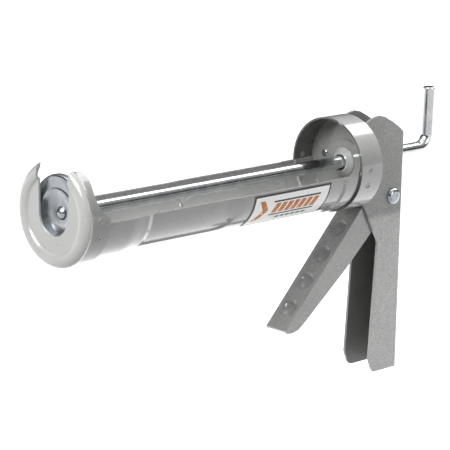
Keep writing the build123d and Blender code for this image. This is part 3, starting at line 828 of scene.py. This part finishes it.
film_pieces = [
    (name, film(name, outlines, lift, material))
    for name, outlines, lift, material in (
        ("label_base", whole, 0.0, white_film),
        ("label_lines", frame_bars + rules + dashes, ink_lift, black_ink),
        ("label_blocks", blocks + chevron, ink_lift, orange_ink),
    )
]
for number, (name, mesh) in enumerate(film_pieces):
    piece(name, mesh, "frame", "label_film", *(["label"] if number == 0 else []))

# ---- floor, light and camera -----------------------------------------
# metres from here to the end
floor_radius = 14.0
floor_drop = 0.30  # below the part
floor_mesh = bpy.data.meshes.new("studio_floor")
floor_shape = bmesh.new()
bmesh.ops.create_circle(floor_shape, cap_ends=True, radius=floor_radius, segments=96)
floor_shape.to_mesh(floor_mesh)
floor_shape.free()
studio_floor = bpy.data.objects.new("studio_floor", floor_mesh)
studio_floor.location.z = cad_low.z - floor_drop
scene.collection.objects.link(studio_floor)
floor_paint = Shader("studio_floor", Roughness=0.9)
floor_paint.bsdf.inputs["Emission Strength"].default_value = 1.0
# the floor glows, which is painted light: it is pale and bright behind the part, toward +X +Y,
# and far off, and darker and dimmer elsewhere
behind_direction = (0.70, 0.71)
behind_fade = (-0.35, 0.60)
distant_fade = (1.3, 3.2)
distant_share = 0.62
floor_place = floor_paint.node("ShaderNodeSeparateXYZ")
floor_paint.link(floor_paint.coord, floor_place.inputs[0])
beyond = floor_paint.maths(
    "ADD",
    floor_paint.maths("MULTIPLY", floor_place.outputs["X"], behind_direction[0]),
    floor_paint.maths("MULTIPLY", floor_place.outputs["Y"], behind_direction[1]),
)
behind = floor_paint.span(beyond, *behind_fade, 0.0, 1.0, smooth=True)
floor_away = floor_paint.node("ShaderNodeVectorMath", operation="LENGTH")
floor_paint.link(floor_paint.coord, floor_away.inputs[0])
distant = floor_paint.span(
    floor_away.outputs["Value"], *distant_fade, 0.0, distant_share, smooth=True
)
falloff = floor_paint.maths("MAXIMUM", behind, distant)
floor_paint.out(
    floor_paint.mix(falloff, (0.38, 0.38, 0.38), (0.70, 0.70, 0.70)), "Base Color"
)
floor_paint.out(
    floor_paint.mix(falloff, (0.12, 0.12, 0.12), (0.95, 0.95, 0.95)), "Emission Color"
)
floor_mesh.materials.append(floor_paint.mat)


def softbox(name, place, aim, width, height, power):
    """A rectangular lamp in watts, turned to face a point."""
    light = bpy.data.lights.new(name, "AREA")
    light.shape = "RECTANGLE"
    light.size = width
    light.size_y = height
    light.energy = power
    lamp = bpy.data.objects.new(name, light)
    lamp.location = place
    lamp.rotation_mode = "QUATERNION"
    lamp.rotation_quaternion = (Vector(aim) - Vector(place)).to_track_quat("-Z", "Y")
    scene.collection.objects.link(lamp)


middle = (cad_low + cad_high) / 2
softbox("top_box", (0.05, 0.15, 1.3), middle, width=1.2, height=0.9, power=7.0)
softbox("left_box", (-1.30, -0.10, 0.95), middle, width=0.8, height=0.8, power=26.0)
softbox("front_box", (0.25, -1.6, 0.40), middle, width=0.9, height=0.8, power=5.0)
softbox("right_box", (1.15, 0.05, 1.05), middle, width=0.7, height=1.3, power=12.0)

world = bpy.data.worlds.new("studio")
scene.world = world
world.use_nodes = True
sky = world.node_tree
backdrop = sky.nodes["Background"]
direction = sky.nodes.new("ShaderNodeTexCoord").outputs["Generated"]
sky_place = sky.nodes.new("ShaderNodeSeparateXYZ")
sky.links.new(direction, sky_place.inputs[0])
ramp = sky.nodes.new("ShaderNodeValToRGB")
# how far up a direction points, and its grey: dim low down and brighter above
sky_stops = ((0.22, 0.06), (0.75, 0.55))
for stop, (position, grey) in zip(ramp.color_ramp.elements, sky_stops):
    stop.position = position
    stop.color = (grey, grey, grey, 1)
sky.links.new(sky_place.outputs["Z"], ramp.inputs[0])
sky.links.new(ramp.outputs[0], backdrop.inputs["Color"])
backdrop.inputs["Strength"].default_value = 1.0

# the camera, turned about its target and rolled a little
view_azimuth = math.radians(-44.55)
view_elevation = math.radians(14.07)
view_roll = math.radians(2.064)
view_target = Vector((-0.08576, 0.01542, -0.03067))
view_distance = 1.3144
sensor_width = 36.0  # mm, as the lens is
lens = 176.69
back = Vector((
    math.sin(view_azimuth) * math.cos(view_elevation),
    -math.cos(view_azimuth) * math.cos(view_elevation),
    math.sin(view_elevation),
))
right = Vector((0, 0, 1)).cross(back).normalized()
up = back.cross(right)
turned_right = math.cos(view_roll) * right + math.sin(view_roll) * up
turned_up = math.cos(view_roll) * up - math.sin(view_roll) * right
camera_data = bpy.data.cameras.new("camera")
camera_data.sensor_width = sensor_width
camera_data.lens = lens
camera_data.clip_start = 0.05
camera_data.clip_end = 60.0
camera = bpy.data.objects.new("camera", camera_data)
scene.collection.objects.link(camera)
camera.matrix_world = Matrix.Translation(view_target + back * view_distance) @ Matrix(
    (turned_right, turned_up, back)
).transposed().to_4x4()
scene.camera = camera
scene.view_settings.view_transform = "Standard"
scene.view_settings.look = "None"
